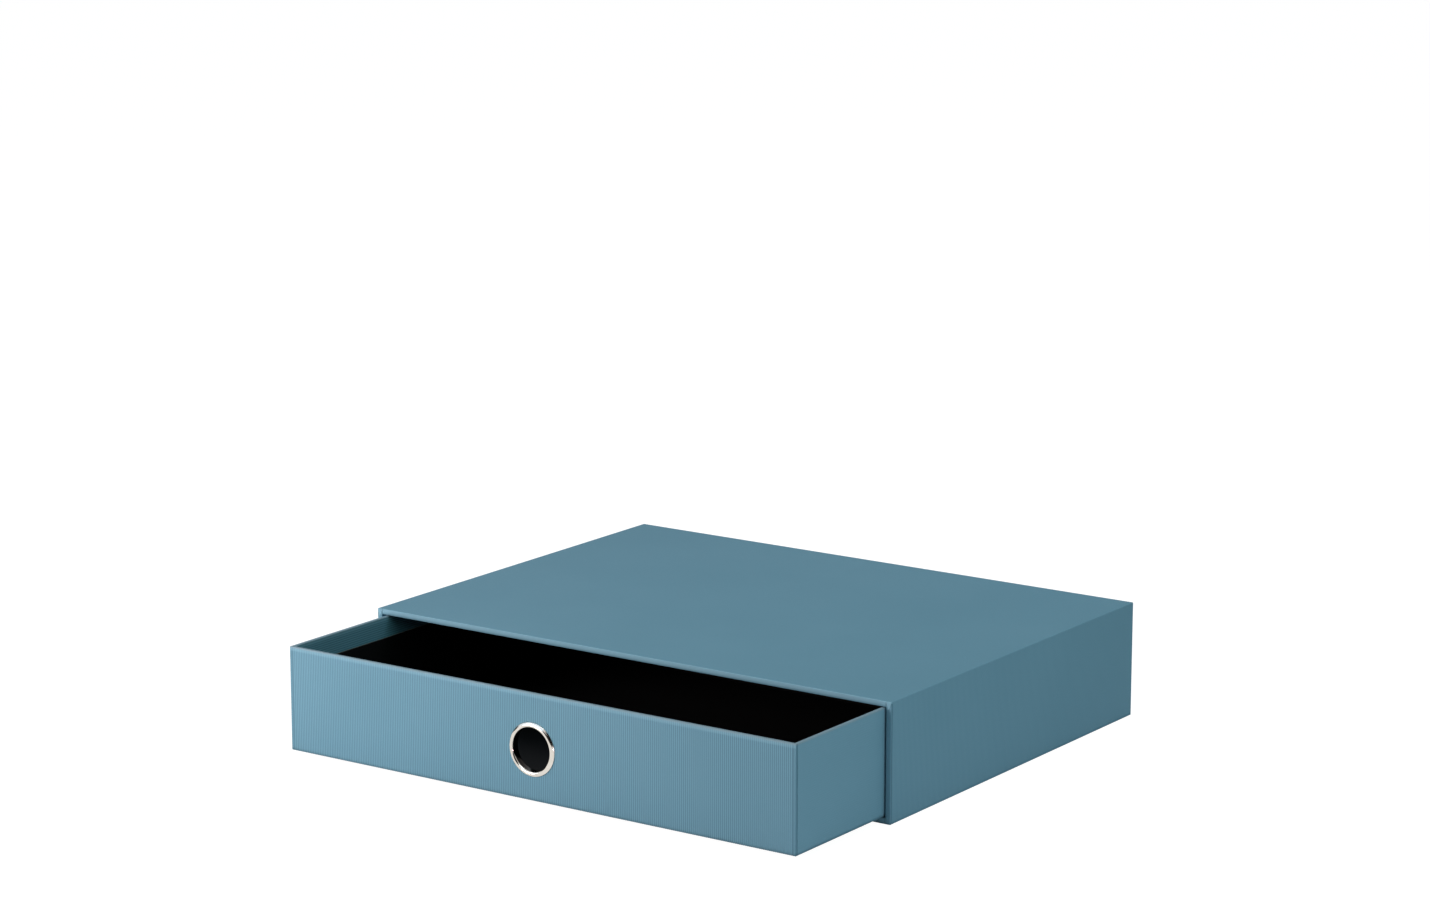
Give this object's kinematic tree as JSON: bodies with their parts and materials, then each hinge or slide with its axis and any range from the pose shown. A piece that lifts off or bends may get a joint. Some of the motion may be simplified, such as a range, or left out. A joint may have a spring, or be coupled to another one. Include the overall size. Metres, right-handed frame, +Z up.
{
  "type": "file box with drawer",
  "caption": "Low rectangular paper-wrapped board sleeve, open at the front, with a shallow drawer for A4 papers that slides out by a metal finger ring in its ribbed front.",
  "frame": {"origin": "centre of the flat underside that the sleeve stands on", "axes": "+X to the right seen from the drawer's front, +Y towards the closed back, +Z up; the drawer opens along -Y"},
  "size_m": [0.335, 0.3313, 0.065],
  "materials": {
    "cover_paper": "fine-ribbed, matt to faintly silky dusty blue",
    "board": "raw grey board",
    "lining_paper": "matt black",
    "nickel": "polished nickel plate"
  },
  "bodies": {
    "sleeve": {"sleeve_top_board": "board", "sleeve_bottom_board": "board", "sleeve_left_board": "board", "sleeve_right_board": "board", "sleeve_back_board": "board", "sleeve_cover_paper": "cover_paper", "sleeve_base_paper": "cover_paper", "sleeve_back_paper": "cover_paper", "sleeve_lining_paper": "lining_paper", "sleeve_back_lining": "lining_paper"},
    "drawer": {"drawer_front_board": "board", "drawer_back_board": "board", "drawer_left_board": "board", "drawer_right_board": "board", "drawer_bottom_board": "board", "drawer_cover_paper": "cover_paper", "drawer_wall_lining": "lining_paper", "drawer_floor_lining": "lining_paper", "finger_ring": "nickel", "finger_ring_washer": "nickel"}
  },
  "joints": [
    {"name": "drawer_slide", "type": "slide", "parent": "sleeve", "child": "drawer", "axis": [0, -1, 0], "range_m": [-0.08, 0.145]}
  ]
}
